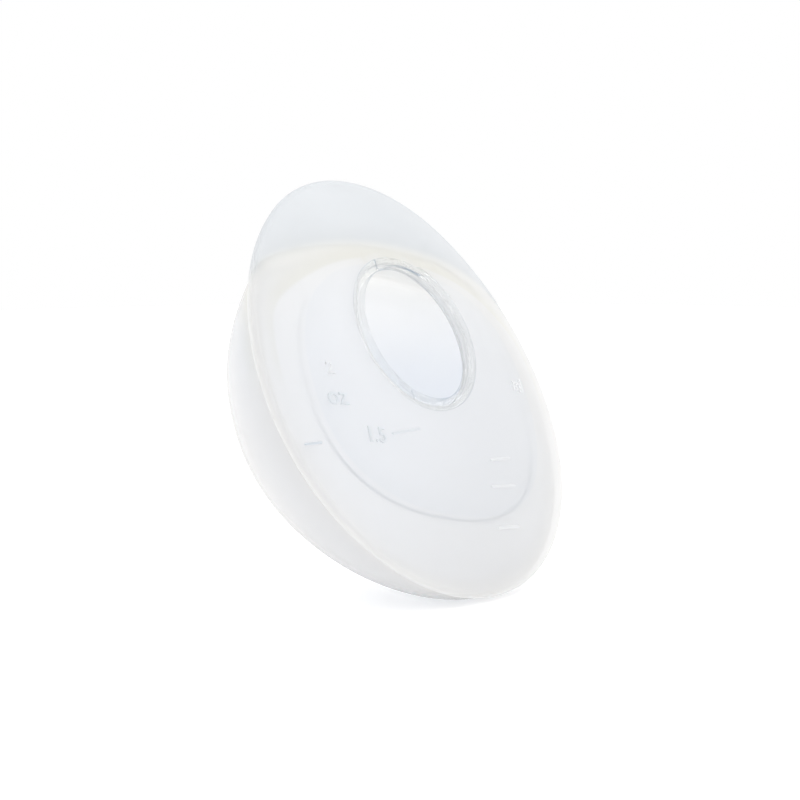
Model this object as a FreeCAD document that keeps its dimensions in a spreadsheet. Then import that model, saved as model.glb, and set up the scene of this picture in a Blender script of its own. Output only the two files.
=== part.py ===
import FreeCAD, Part
import math
import os
import Sketcher

# A wearable silicone breast pump that is worn inside a bra. Millimetres.
# +Z is up as worn, +Y points at the breast, -Y is the outer dome, and the pump is symmetric about X = 0.
# The origin is the middle of the nipple opening, on its axis, half way along its straight wall.
#
# rear_shield     soft wall against the breast: egg-shaped rim, shallow dome, single-layer flap at the top
# front_bulb      soft milk reservoir and squeeze bulb, bonded to the back of the shield
# opening_ring    stiff clear ring, bonded into the front of the shield's opening
# valve_collar    stiff cup snapped into the nose of the bulb, with vents in its floor
# release_button  soft push button and stem, guided by the collar
# valve_disc      soft disc on the inner end of the stem, which seals the vents

DRIVING_DIMENSIONS = {
    # Plan outline of the rim: four tangent arcs.
    "half_width": 56.0,
    "egg_centre": -15.0,
    "egg_side_radius": 66.0,
    "egg_top_radius": 50.0,
    # Rim, wall and dome of the shield.
    "rim_front": -6.2,
    "rim_thickness": 2.6,
    "wall": 2.2,
    "rim_land": 5.0,
    "rim_rounding": 1.0,
    "seat_plane": -0.3,
    "seat_radius": 24.0,
    # Bulb: six tangent arcs. Its two upper corners are tight at the mouth and open out towards the nose.
    "bulb_inset": 1.0,
    "bulb_mouth_corner": 15.8,
    "bulb_mouth_top": 26.0,
    "bulb_mouth_top_radius": 160.0,
    "bulb_nose_corner": 20.0,
    "bulb_nose_top": 12.5,
    "bulb_nose_top_radius": 124.0,
    "bulb_opening_power": 0.33,
    "bulb_depth": 46.5,
    "bulb_side_power": 1.38,
    "bulb_nose_power": 1.55,
    "nose_height": -11.2,
    "bond_gap": 0.05,
    # Clear ring in the nipple opening.
    "opening_radius": 18.7,
    "ring_half_length": 1.2,
    "ring_tube_wall": 1.5,
    "ring_lip_radius": 21.8,
    "ring_edge_rounding": 0.6,
    "ring_notch_radius": 19.2,
    "ring_notch_width": 16.4,
    "ring_notch_depth": 0.8,
    # Suction-release valve in the nose of the bulb.
    "valve_height": -14.6,
    "collar_hub_radius": 7.2,
    "collar_flange_radius": 8.3,
    "collar_flange_thickness": 1.2,
    "cup_radius": 6.2,
    "cup_depth": 3.8,
    "cup_floor": 1.0,
    "stem_radius": 1.8,
    "stem_clearance": 0.1,
    "vent_radius": 0.9,
    "vent_circle": 3.6,
    "button_radius": 5.8,
    "button_thickness": 2.0,
    "button_proud": 0.4,
    "disc_radius": 5.3,
    "disc_thickness": 1.0,
    "assembly_gap": 0.04,
    "overcut": 0.01,
}
VENT_COUNT = 4
# One notch at the top of the ring's lip and one at the bottom.
NOTCH_COUNT = 2
# Edges flatter than this lie in one plane.
FLAT = 0.0001

# How far each cross-section of the shield's dome lies from the rim (0) to the ring's seat (1).
DOME_SHARES = (0.04, 0.3, 0.6, 0.85)
# Size of each cross-section of the bulb, as a share of its mouth.
BULB_SHARES = (1.0, 0.97, 0.9, 0.78, 0.62, 0.42, 0.2)

# Sketcher's numbers for an arc's points and for a sketch's origin and vertical axis.
ARC_START, ARC_END, CENTRE = 1, 2, 3
ORIGIN, VERTICAL_AXIS = -1, -2

doc = FreeCAD.newDocument("breast_pump")
sheet = doc.addObject("Spreadsheet::Sheet", "params")
for row, (alias, number) in enumerate(DRIVING_DIMENSIONS.items(), start=1):
    sheet.set(f"A{row}", alias)
    sheet.set(f"B{row}", str(number))
    sheet.setAlias(f"B{row}", alias)
doc.recompute()


def value(expression):
    """The number that an expression in the sheet's cells works out to."""
    return float(sheet.evalExpression(expression))


def new_body(name):
    body = doc.addObject("PartDesign::Body", name)
    body.Label = name
    return body


def origin_feature(body, role):
    return next(f for f in body.Origin.OriginFeatures if f.Role == role)


def new_sketch(body, name, plane, offset="0"):
    """An empty sketch on one of the body's own planes, lifted along the plane's normal by an expression."""
    sketch = body.newObject("Sketcher::SketchObject", name)
    sketch.AttachmentSupport = [(origin_feature(body, plane), "")]
    sketch.MapMode = "FlatFace"
    sketch.setExpression("AttachmentOffset.Base.z", offset)
    return sketch


def bind(sketch, constraint, name, expression):
    """Adds a dimension to a sketch and ties it to the sheet."""
    index = sketch.addConstraint(constraint)
    sketch.renameConstraint(index, name)
    sketch.setExpression(f"Constraints.{name}", expression)


def tangent_arcs(sketch, arcs):
    """Adds a closed chain of arcs, symmetric about Z, that are tangent where they meet.

    Each arc is (x, z, radius, start angle, end angle). The first is the bottom arc, and its centre is level
    with the centres of the side arcs next to it.
    """
    for x, z, radius, start, end in arcs:
        circle = Part.Circle(FreeCAD.Vector(x, z, 0), FreeCAD.Vector(0, 0, 1), radius)
        sketch.addGeometry(Part.ArcOfCircle(circle, start, end), False)
    count = len(arcs)
    for i in range(count):
        sketch.addConstraint(Sketcher.Constraint("Tangent", i, ARC_END, (i + 1) % count, ARC_START))
    sketch.addConstraint(Sketcher.Constraint("PointOnObject", 0, CENTRE, VERTICAL_AXIS))
    sketch.addConstraint(Sketcher.Constraint("Horizontal", 0, CENTRE, 1, CENTRE))
    sketch.addConstraint(Sketcher.Constraint("Horizontal", 0, CENTRE, count - 1, CENTRE))
    for i in range(1, count // 2):
        sketch.addConstraint(Sketcher.Constraint("Equal", i, count - i))


def egg_sketch(body, name, height, bottom, side, top, centre):
    """A closed outline of four tangent arcs, symmetric about Z, in the plane Y = height.

    bottom, side and top are the arcs' radii and centre is the Z of the bottom arc's centre.
    All of them are expressions.
    """
    sketch = new_sketch(body, name, "XZ_Plane", f"-({height})")
    r_bottom = value(bottom)
    r_side = value(side)
    r_top = value(top)
    z_centre = value(centre)
    side_x = r_bottom - r_side
    rise = math.sqrt((r_side - r_top) ** 2 - side_x ** 2)
    top_z = rise if r_top < r_side else -rise
    joint = math.atan2(abs(top_z), abs(side_x))
    arcs = (
        (0.0, z_centre, r_bottom, math.pi, 2 * math.pi),
        (side_x, z_centre, r_side, 0.0, joint),
        (0.0, z_centre + top_z, r_top, joint, math.pi - joint),
        (-side_x, z_centre, r_side, math.pi - joint, math.pi),
    )
    tangent_arcs(sketch, arcs)
    bind(sketch, Sketcher.Constraint("Radius", 0, r_bottom), "bottom", bottom)
    bind(sketch, Sketcher.Constraint("Radius", 1, r_side), "side", side)
    bind(sketch, Sketcher.Constraint("Radius", 2, r_top), "top", top)
    bind(sketch, Sketcher.Constraint("DistanceY", ORIGIN, 1, 0, CENTRE, z_centre), "centre", centre)
    return sketch


def cornered_sketch(body, name, height, bottom, side, corner, top, centre, top_centre):
    """A closed outline of six tangent arcs, like the egg but with a corner arc between each side and the top.

    bottom, side, corner and top are the arcs' radii; centre and top_centre are the Z of the bottom arc's and
    of the top arc's centre. All of them are expressions.
    """
    sketch = new_sketch(body, name, "XZ_Plane", f"-({height})")
    r_bottom = value(bottom)
    r_side = value(side)
    r_corner = value(corner)
    r_top = value(top)
    side_point = FreeCAD.Vector(r_bottom - r_side, value(centre), 0)
    top_point = FreeCAD.Vector(0, value(top_centre), 0)
    # The corner's centre lies where two circles about the side's centre and the top's centre cross.
    span = top_point - side_point
    along = (span.Length ** 2 + (r_side - r_corner) ** 2 - (r_top - r_corner) ** 2) / (2 * span.Length)
    across = math.sqrt((r_side - r_corner) ** 2 - along ** 2)
    span.normalize()
    sideways = FreeCAD.Vector(-span.y, span.x, 0)
    corner_point = side_point + span * along + sideways * across
    low = math.atan2(corner_point.y - side_point.y, corner_point.x - side_point.x)
    high = math.atan2(corner_point.y - top_point.y, corner_point.x - top_point.x)
    arcs = (
        (0.0, side_point.y, r_bottom, math.pi, 2 * math.pi),
        (side_point.x, side_point.y, r_side, 0.0, low),
        (corner_point.x, corner_point.y, r_corner, low, high),
        (0.0, top_point.y, r_top, high, math.pi - high),
        (-corner_point.x, corner_point.y, r_corner, math.pi - high, math.pi - low),
        (-side_point.x, side_point.y, r_side, math.pi - low, math.pi),
    )
    tangent_arcs(sketch, arcs)
    sketch.addConstraint(Sketcher.Constraint("PointOnObject", 3, CENTRE, VERTICAL_AXIS))
    bind(sketch, Sketcher.Constraint("Radius", 0, r_bottom), "bottom", bottom)
    bind(sketch, Sketcher.Constraint("Radius", 1, r_side), "side", side)
    bind(sketch, Sketcher.Constraint("Radius", 2, r_corner), "corner", corner)
    bind(sketch, Sketcher.Constraint("Radius", 3, r_top), "top", top)
    low_centre = Sketcher.Constraint("DistanceY", ORIGIN, 1, 0, CENTRE, side_point.y)
    bind(sketch, low_centre, "centre", centre)
    high_centre = Sketcher.Constraint("DistanceY", ORIGIN, 1, 3, CENTRE, top_point.y)
    bind(sketch, high_centre, "top_centre", top_centre)
    if sketch.solve() != 0:
        raise RuntimeError(f"{name} has constraints that clash")
    return sketch


def loft(body, name, kind, sections):
    """kind is AdditiveLoft or SubtractiveLoft."""
    feature = body.newObject(f"PartDesign::{kind}", name)
    feature.Profile = sections[0]
    feature.Sections = sections[1:]
    doc.recompute()
    return feature


def circle_sketch(body, name, height, radius, z="0"):
    """A circle about the Y axis at height z, in the plane Y = height."""
    sketch = new_sketch(body, name, "XZ_Plane", f"-({height})")
    centre = FreeCAD.Vector(0, value(z), 0)
    sketch.addGeometry(Part.Circle(centre, FreeCAD.Vector(0, 0, 1), value(radius)), False)
    bind(sketch, Sketcher.Constraint("Radius", 0, value(radius)), "radius", radius)
    sketch.addConstraint(Sketcher.Constraint("PointOnObject", 0, CENTRE, VERTICAL_AXIS))
    if z == "0":
        sketch.addConstraint(Sketcher.Constraint("PointOnObject", 0, CENTRE, ORIGIN))
    else:
        bind(sketch, Sketcher.Constraint("DistanceY", ORIGIN, 1, 0, CENTRE, value(z)), "height", z)
    return sketch


def pocket(body, name, sketch, length, reversed_side=False):
    """Cuts a sketch out of the body and makes sure that it did cut."""
    doc.recompute()
    before = body.Shape.Volume
    feature = body.newObject("PartDesign::Pocket", name)
    feature.Profile = sketch
    feature.setExpression("Length", length)
    feature.Reversed = reversed_side
    doc.recompute()
    if body.Shape.Volume > before - 0.01:
        raise RuntimeError(f"{name} cut nothing")
    return feature


def pad(body, name, sketch, length, reversed_side=False):
    feature = body.newObject("PartDesign::Pad", name)
    feature.Profile = sketch
    feature.setExpression("Length", length)
    feature.Reversed = reversed_side
    doc.recompute()
    return feature


def round_edges(body, name, radius, wanted):
    """Fillets every edge of the body that wanted(edge) picks."""
    base = body.Tip
    names = [f"Edge{i}" for i, edge in enumerate(base.Shape.Edges, start=1) if wanted(edge)]
    feature = body.newObject("PartDesign::Fillet", name)
    feature.Base = (base, names)
    feature.setExpression("Radius", radius)
    doc.recompute()
    return feature


def repeat_round(body, name, feature, profile_name, count):
    """Repeats a feature evenly round the axis of one of the body's turned profiles."""
    pattern = body.newObject("PartDesign::PolarPattern", name)
    pattern.Originals = [feature]
    pattern.Axis = (body.getObject(profile_name), ["V_Axis"])
    pattern.Angle = 360
    pattern.Occurrences = count
    body.Tip = pattern
    doc.recompute()


def profile_revolution(body, name, points, axis_z="0"):
    """A solid of revolution about the line along Y at height axis_z. Points are (radius, y) expressions."""
    sketch = new_sketch(body, f"{name}_profile", "XY_Plane", axis_z)
    corners = [FreeCAD.Vector(value(r), value(y), 0) for r, y in points]
    count = len(corners)
    for i in range(count):
        sketch.addGeometry(Part.LineSegment(corners[i], corners[(i + 1) % count]), False)
    for i in range(count):
        sketch.addConstraint(Sketcher.Constraint("Coincident", i, 2, (i + 1) % count, 1))
    for i, (radius, y) in enumerate(points):
        if value(radius) == 0.0:
            sketch.addConstraint(Sketcher.Constraint("PointOnObject", i, 1, VERTICAL_AXIS))
        else:
            out = Sketcher.Constraint("DistanceX", ORIGIN, 1, i, 1, corners[i].x)
            bind(sketch, out, f"radius{i}", radius)
        along = Sketcher.Constraint("DistanceY", ORIGIN, 1, i, 1, corners[i].y)
        bind(sketch, along, f"along{i}", y)
    feature = body.newObject("PartDesign::Revolution", name)
    feature.Profile = sketch
    feature.ReferenceAxis = (sketch, ["V_Axis"])
    feature.Angle = 360
    doc.recompute()
    return feature


# ---- shared outlines ----

RIM_BACK = "params.rim_front - params.rim_thickness"
SEAT_BACK = "params.seat_plane - params.wall"


def dome_outline(body, name, share, height, inset="0"):
    """The shield's outline, part of the way from the rim's egg (share 0) to the ring's seat (share 1)."""
    rest = round(1 - share, 4)
    return egg_sketch(
        body,
        name,
        height,
        f"params.half_width * {rest} + params.seat_radius * {share} - ({inset})",
        f"params.egg_side_radius * {rest} + params.seat_radius * {share} - ({inset})",
        f"params.egg_top_radius * {rest} + params.seat_radius * {share} - ({inset})",
        f"params.egg_centre * {rest}",
    )


def dome_height(share, base, top):
    """Y of the dome at a share of the way in: a quarter sine, steep at the rim and level at the seat."""
    progress = (share - DOME_SHARES[0]) / (DOME_SHARES[-1] - DOME_SHARES[0])
    lift = round(math.sin(progress * math.pi / 2), 5)
    return f"({base}) + (({top}) - ({base})) * {lift}"


def hollow_back(body, name, gap="0"):
    """Cuts the space behind the shield's dome out of a body. A gap makes the space smaller all round."""
    mouth_height = f"{RIM_BACK} - {gap} - params.overcut"
    sections = [dome_outline(body, f"{name}_mouth", 0.0, mouth_height, f"params.rim_land + {gap}")]
    for i, share in enumerate(DOME_SHARES[1:], start=1):
        height = dome_height(share, f"{RIM_BACK}", f"{SEAT_BACK} - {gap}")
        sections.append(dome_outline(body, f"{name}_{i}", share, height, f"params.wall + {gap}"))
    return loft(body, name, "SubtractiveLoft", sections)


def bulb_reach(share):
    """How deep a cross-section of the bulb lies, as a share of the bulb's depth."""
    return f"(1 - {share} ^ params.bulb_side_power) ^ (1 / params.bulb_nose_power)"


def bulb_outline(body, name, share, wall="0"):
    """One cross-section of the bulb, share times the size of its mouth, with a wall taken off all round."""

    def opened(size):
        """A size of the upper outline, which goes from its value at the mouth to its value at the nose."""
        at_mouth = f"params.bulb_mouth_{size}"
        at_nose = f"params.bulb_nose_{size}"
        return f"({at_mouth} + ({at_nose} - {at_mouth}) * {round(1 - share, 4)} ^ params.bulb_opening_power)"

    top_centre = f"{opened('top')} - {opened('top_radius')}"
    return cornered_sketch(
        body,
        name,
        f"{RIM_BACK} - (params.bulb_depth - ({wall})) * {bulb_reach(share)}",
        f"(params.half_width - params.bulb_inset - ({wall})) * {share}",
        f"(params.egg_side_radius - params.bulb_inset - ({wall})) * {share}",
        f"({opened('corner')} - ({wall})) * {share}",
        f"({opened('top_radius')} - ({wall})) * {share}",
        f"params.nose_height + (params.egg_centre - params.nose_height) * {share}",
        f"params.nose_height + ({top_centre} - params.nose_height) * {share}",
    )


# ---- rear shield ----

def make_rear_shield():
    body = new_body("rear_shield")
    rim = dome_outline(body, "rim_outline", 0.0, RIM_BACK)
    pad(body, "rim", rim, "params.rim_thickness", reversed_side=True)
    round_edges(body, "rim_edges", "params.rim_rounding", lambda edge: edge.BoundBox.YLength < FLAT)
    sections = []
    for i, share in enumerate(DOME_SHARES):
        height = dome_height(share, "params.rim_front", "params.seat_plane")
        sections.append(dome_outline(body, f"dome_{i}", share, height))
    loft(body, "dome", "AdditiveLoft", sections)
    hollow_back(body, "hollow")
    hole_radius = "params.opening_radius + params.ring_tube_wall + params.assembly_gap"
    hole = circle_sketch(body, "ring_hole_outline", "params.seat_plane + 1", hole_radius)
    pocket(body, "ring_hole", hole, "10", reversed_side=True)
    return body


# ---- front bulb ----

def make_bulb_blank():
    """The bulb's dome with a straight collar at its mouth, longer than it ends up."""
    body = new_body("bulb_blank")
    outer = [bulb_outline(body, f"outer_{i}", share) for i, share in enumerate(BULB_SHARES)]
    loft(body, "outer_skin", "AdditiveLoft", outer)
    mouth = bulb_outline(body, "mouth_outline", 1.0)
    pad(body, "mouth", mouth, "params.seat_plane - params.rim_front", reversed_side=True)
    inner = [bulb_outline(body, f"inner_{i}", share, "params.wall") for i, share in enumerate(BULB_SHARES)]
    loft(body, "inner_skin", "SubtractiveLoft", inner)
    throat = bulb_outline(body, "throat_outline", 1.0, "params.wall")
    pocket(body, "throat", throat, "params.bulb_depth")
    hub_hole = circle_sketch(
        body,
        "hub_hole_outline",
        f"{RIM_BACK} - params.bulb_depth - 1",
        "params.collar_hub_radius + params.assembly_gap",
        "params.valve_height",
    )
    pocket(body, "hub_hole", hub_hole, "params.bulb_depth / 2")
    return body


def make_shield_volume():
    """A block that fills the shield's rim and everything in front of it, hollow behind the shield's dome."""
    body = new_body("shield_volume")
    outline = dome_outline(body, "block_outline", 0.0, f"{RIM_BACK} - params.bond_gap", "-params.half_width")
    pad(body, "block", outline, "params.half_width", reversed_side=True)
    hollow_back(body, "bond", "params.bond_gap")
    return body


def make_front_bulb():
    """The blank, trimmed so that its mouth follows the back of the shield."""
    bulb = doc.addObject("Part::Cut", "front_bulb")
    bulb.Label = "front_bulb"
    bulb.Base = make_bulb_blank()
    bulb.Tool = make_shield_volume()
    doc.recompute()
    return bulb


# ---- opening ring ----

def make_opening_ring():
    body = new_body("opening_ring")
    spigot_radius = "params.opening_radius + params.ring_tube_wall"
    lip_back = "params.seat_plane + params.assembly_gap"
    profile_revolution(
        body,
        "ring",
        (
            ("params.opening_radius", "-params.ring_half_length"),
            (spigot_radius, "-params.ring_half_length"),
            (spigot_radius, lip_back),
            ("params.ring_lip_radius", lip_back),
            ("params.ring_lip_radius", "params.ring_half_length"),
            ("params.opening_radius", "params.ring_half_length"),
        ),
    )
    front = value("params.ring_half_length")
    lip_radius = value("params.ring_lip_radius")

    def is_lip_edge(edge):
        box = edge.BoundBox
        return abs(box.YMin - front) < FLAT and abs(box.YMax - front) < FLAT and box.XMax > lip_radius - FLAT

    round_edges(body, "lip_edge", "params.ring_edge_rounding", is_lip_edge)
    notch = new_sketch(body, "notch_outline", "XZ_Plane", "-params.ring_half_length")
    half = value("params.ring_notch_width") / 2
    radii = ("params.ring_notch_radius", "params.ring_lip_radius + 1")
    for i, radius in enumerate(radii):
        slant = math.acos(half / value(radius))
        circle = Part.Circle(FreeCAD.Vector(0, 0, 0), FreeCAD.Vector(0, 0, 1), value(radius))
        notch.addGeometry(Part.ArcOfCircle(circle, slant, math.pi - slant), False)
        notch.addConstraint(Sketcher.Constraint("Coincident", i, CENTRE, ORIGIN, 1))
        bind(notch, Sketcher.Constraint("Radius", i, value(radius)), f"radius_{i}", radius)
    inner, outer = notch.Geometry
    for i, point in enumerate(("StartPoint", "EndPoint"), start=2):
        notch.addGeometry(Part.LineSegment(getattr(inner, point), getattr(outer, point)), False)
        notch.addConstraint(Sketcher.Constraint("Coincident", i, 1, 0, i - 1))
        notch.addConstraint(Sketcher.Constraint("Coincident", i, 2, 1, i - 1))
        notch.addConstraint(Sketcher.Constraint("Vertical", i))
    side = "params.ring_notch_width / 2"
    bind(notch, Sketcher.Constraint("DistanceX", ORIGIN, 1, 0, ARC_START, half), "right", side)
    bind(notch, Sketcher.Constraint("DistanceX", 0, ARC_END, ORIGIN, 1, half), "left", side)
    notch_cut = pocket(body, "notch", notch, "params.ring_notch_depth", reversed_side=True)
    repeat_round(body, "notches", notch_cut, "ring_profile", NOTCH_COUNT)
    return body


# ---- suction-release valve ----

NOSE = f"{RIM_BACK} - params.bulb_depth * {bulb_reach(BULB_SHARES[-1])}"
FLANGE_FRONT = f"{NOSE} - params.assembly_gap - params.collar_flange_thickness"
FLOOR_FRONT = f"{FLANGE_FRONT} + params.cup_depth"
FLOOR_BACK = f"{FLOOR_FRONT} + params.cup_floor"


def make_valve_collar():
    body = new_body("valve_collar")
    bore = "params.stem_radius + params.stem_clearance"
    flange_back = f"{NOSE} - params.assembly_gap"
    profile_revolution(
        body,
        "cup",
        (
            (bore, FLOOR_FRONT),
            ("params.cup_radius", FLOOR_FRONT),
            ("params.cup_radius", FLANGE_FRONT),
            ("params.collar_flange_radius", FLANGE_FRONT),
            ("params.collar_flange_radius", flange_back),
            ("params.collar_hub_radius", flange_back),
            ("params.collar_hub_radius", FLOOR_BACK),
            (bore, FLOOR_BACK),
        ),
        "params.valve_height",
    )
    vent = new_sketch(body, "vent_outline", "XZ_Plane", f"-({FLANGE_FRONT} - 1)")
    centre_z = value("params.valve_height + params.vent_circle")
    vent_radius = value("params.vent_radius")
    vent.addGeometry(Part.Circle(FreeCAD.Vector(0, centre_z, 0), FreeCAD.Vector(0, 0, 1), vent_radius), False)
    bind(vent, Sketcher.Constraint("Radius", 0, vent_radius), "radius", "params.vent_radius")
    vent.addConstraint(Sketcher.Constraint("PointOnObject", 0, CENTRE, VERTICAL_AXIS))
    height = "params.valve_height + params.vent_circle"
    bind(vent, Sketcher.Constraint("DistanceY", ORIGIN, 1, 0, CENTRE, centre_z), "height", height)
    vent_hole = pocket(body, "vent", vent, "params.cup_depth + params.cup_floor + 2")
    repeat_round(body, "vents", vent_hole, "cup_profile", VENT_COUNT)
    return body


def make_release_button():
    body = new_body("release_button")
    head_front = f"{FLANGE_FRONT} - params.button_proud"
    head_back = f"{head_front} + params.button_thickness"
    stem_end = f"{FLOOR_BACK} + params.assembly_gap"
    profile_revolution(
        body,
        "button",
        (
            ("0", head_front),
            ("params.button_radius", head_front),
            ("params.button_radius", head_back),
            ("params.stem_radius", head_back),
            ("params.stem_radius", stem_end),
            ("0", stem_end),
        ),
        "params.valve_height",
    )
    return body


def make_valve_disc():
    body = new_body("valve_disc")
    seat = f"{FLOOR_BACK} + params.assembly_gap * 2"
    disc_back = f"{seat} + params.disc_thickness"
    profile_revolution(
        body,
        "disc",
        (
            ("0", seat),
            ("params.disc_radius", seat),
            ("params.disc_radius", disc_back),
            ("0", disc_back),
        ),
        "params.valve_height",
    )
    return body


SUB_PARTS = [
    make_rear_shield(),
    make_front_bulb(),
    make_opening_ring(),
    make_valve_collar(),
    make_release_button(),
    make_valve_disc(),
]
doc.recompute()


# ---- checks and export ----

for item in doc.Objects:
    if "Invalid" in item.State or "Error" in item.State:
        raise RuntimeError(f"{item.Name} failed: {item.State}")
for sub_part in SUB_PARTS:
    shape = sub_part.Shape
    if shape.isNull() or not shape.isValid() or len(shape.Solids) != 1:
        raise RuntimeError(f"{sub_part.Label} isn't one valid solid")

os.makedirs("parts", exist_ok=True)
for sub_part in SUB_PARTS:
    sub_part.Shape.exportStep(os.path.join("parts", f"{sub_part.Label}.step"))
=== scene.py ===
import math

import bpy
import numpy as np
from mathutils import Matrix, Vector


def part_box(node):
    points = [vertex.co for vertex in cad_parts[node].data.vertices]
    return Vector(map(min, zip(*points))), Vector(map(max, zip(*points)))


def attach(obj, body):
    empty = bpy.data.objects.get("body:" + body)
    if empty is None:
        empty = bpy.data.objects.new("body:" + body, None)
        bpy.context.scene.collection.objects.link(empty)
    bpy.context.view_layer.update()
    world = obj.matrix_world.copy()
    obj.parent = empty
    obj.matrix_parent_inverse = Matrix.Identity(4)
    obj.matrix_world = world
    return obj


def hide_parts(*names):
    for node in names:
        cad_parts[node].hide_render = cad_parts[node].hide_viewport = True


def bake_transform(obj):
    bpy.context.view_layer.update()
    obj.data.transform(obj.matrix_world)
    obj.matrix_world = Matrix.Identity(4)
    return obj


# The looks of a wearable silicone breast pump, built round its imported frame. Metres.
# +Z is up as worn, +Y points at the breast and -Y is the outer dome.

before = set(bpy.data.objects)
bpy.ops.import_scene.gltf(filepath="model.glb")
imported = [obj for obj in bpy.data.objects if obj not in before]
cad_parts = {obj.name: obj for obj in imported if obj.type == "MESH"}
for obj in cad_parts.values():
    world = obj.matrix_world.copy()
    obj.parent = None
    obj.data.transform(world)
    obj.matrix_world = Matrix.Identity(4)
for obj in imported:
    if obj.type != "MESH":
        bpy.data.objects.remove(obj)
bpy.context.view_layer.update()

MM = 0.001
AROUND = 384


# ---- sizes, from the frame where the frame holds them ----

shield_low, shield_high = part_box("rear_shield")
ring_low, ring_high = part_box("opening_ring")
collar_low, collar_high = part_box("valve_collar")
button_low, button_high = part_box("release_button")
disc_low, disc_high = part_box("valve_disc")

SEAT_Y = shield_high.y
RIM_BACK = shield_low.y
RIM_THICKNESS = 2.6 * MM
RIM_FRONT = RIM_BACK + RIM_THICKNESS
RIM_LAND = 5.0 * MM
WALL = 2.2 * MM
BOND_GAP = 0.05 * MM
FIT_GAP = 0.04 * MM

RING_RADIUS = ring_high.x
RING_FRONT = ring_high.y
RING_BACK = ring_low.y
OPENING_RADIUS = 18.7 * MM
SPIGOT_RADIUS = 20.2 * MM
SEAT_RADIUS = 24.0 * MM

EGG_CENTRE = -15.0 * MM
EGG_SIDE = 66.0 * MM
EGG_TOP = 50.0 * MM

BULB_INSET = 1.0 * MM
BULB_DEPTH = 46.5 * MM
BULB_SIDE_POWER = 1.38
BULB_NOSE_POWER = 1.55
BULB_OPENING_POWER = 0.33
NOSE_SHARE = 0.2
BULB_CENTRE = -11.2 * MM
MOUTH_CORNER = 15.8 * MM
MOUTH_TOP = 26.0 * MM
MOUTH_TOP_RADIUS = 160.0 * MM
NOSE_CORNER = 20.0 * MM
NOSE_TOP = 12.5 * MM
NOSE_TOP_RADIUS = 124.0 * MM

VALVE_Z = (collar_low.z + collar_high.z) / 2
FLANGE_FRONT = collar_low.y
FLANGE_BACK = FLANGE_FRONT + 1.2 * MM
NOSE_Y = FLANGE_BACK + FIT_GAP
HUB_RADIUS = 7.2 * MM
CUP_RADIUS = 6.2 * MM
STEM_RADIUS = 1.8 * MM


# ---- outlines ----

class Outline:
    """A closed outline in the XZ plane, of tangent arcs, symmetric about X = 0.

    arcs holds the right-hand half from the bottom up, as (centre x, centre z, radius, end). end is the angle
    of the normal where the arc ends.
    """

    def __init__(self, arcs):
        self.arcs = arcs

    def grown(self, by):
        return Outline([(x, z, radius + by, end) for x, z, radius, end in self.arcs])

    def scaled(self, share, about=0.0):
        return Outline(
            [
                (x * share, about + (z - about) * share, radius * share, end)
                for x, z, radius, end in self.arcs
            ]
        )

    def pick(self, normals):
        """Centre x, centre z and radius of the arc whose normal points at each angle."""
        folded = np.arcsin(np.clip(np.sin(normals), -1, 1))
        index = np.searchsorted([arc[3] for arc in self.arcs[:-1]], folded)
        table = np.array(self.arcs)[index]
        return table[:, 0] * np.where(np.cos(normals) >= 0, 1, -1), table[:, 1], table[:, 2]

    def points(self, normals):
        x, z, radius = self.pick(normals)
        return x + radius * np.cos(normals), z + radius * np.sin(normals)

    def support(self, normals):
        """How far the outline reaches from the origin in each direction."""
        x, z, radius = self.pick(normals)
        return x * np.cos(normals) + z * np.sin(normals) + radius


def egg(bottom, side, top, centre):
    """Four arcs: their radii, and the height of the bottom arc's centre."""
    side_x = bottom - side
    rise = math.sqrt((side - top) ** 2 - side_x ** 2)
    joint = math.atan2(rise, -side_x)
    return Outline(
        [
            (0.0, centre, bottom, 0.0),
            (side_x, centre, side, joint),
            (0.0, centre + rise, top, math.pi / 2),
        ]
    )


def cornered(bottom, side, corner, top, centre, height):
    """Six arcs: an egg with a corner between each side and its top. height is the Z of the top."""
    side_point = Vector((bottom - side, centre))
    top_point = Vector((0.0, height - top))
    span = top_point - side_point
    along = (span.length ** 2 + (side - corner) ** 2 - (top - corner) ** 2) / (2 * span.length)
    across = math.sqrt((side - corner) ** 2 - along ** 2)
    span.normalize()
    corner_point = side_point + span * along + Vector((-span.y, span.x)) * across
    low = math.atan2(corner_point.y - side_point.y, corner_point.x - side_point.x)
    high = math.atan2(corner_point.y - top_point.y, corner_point.x - top_point.x)
    return Outline(
        [
            (0.0, centre, bottom, 0.0),
            (side_point.x, centre, side, low),
            (corner_point.x, corner_point.y, corner, high),
            (0.0, top_point.y, top, math.pi / 2),
        ]
    )


EGG = egg(shield_high.x, EGG_SIDE, EGG_TOP, EGG_CENTRE)
normals = np.linspace(0, 2 * math.pi, AROUND, endpoint=False)


def towards_seat(outline, share):
    """An outline part of the way from the rim (share 0) to the round seat of the ring (share 1)."""
    return outline.scaled(1 - share).grown(share * SEAT_RADIUS)


def bulb_section(share, wall=0.0):
    """One cross-section of the bulb, share times the size of its mouth, with a wall taken off."""
    opened = (1 - share) ** BULB_OPENING_POWER
    corner = MOUTH_CORNER + (NOSE_CORNER - MOUTH_CORNER) * opened
    top = MOUTH_TOP_RADIUS + (NOSE_TOP_RADIUS - MOUTH_TOP_RADIUS) * opened
    height = MOUTH_TOP + (NOSE_TOP - MOUTH_TOP) * opened
    bottom = shield_high.x - BULB_INSET
    side = EGG_SIDE - BULB_INSET
    return cornered(bottom, side, corner, top, EGG_CENTRE, height).grown(-wall).scaled(share, BULB_CENTRE)


MOUTH = bulb_section(1.0)
# The inner edge of the band along the top where shield and bulb are bonded.
BAND_EDGE = cornered(
    bottom=50.5 * MM,
    side=61 * MM,
    corner=16 * MM,
    top=75 * MM,
    centre=EGG_CENTRE,
    height=21.5 * MM,
)


# ---- the shield's dome as a height over the XZ plane ----

DOME_END = 0.88


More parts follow.
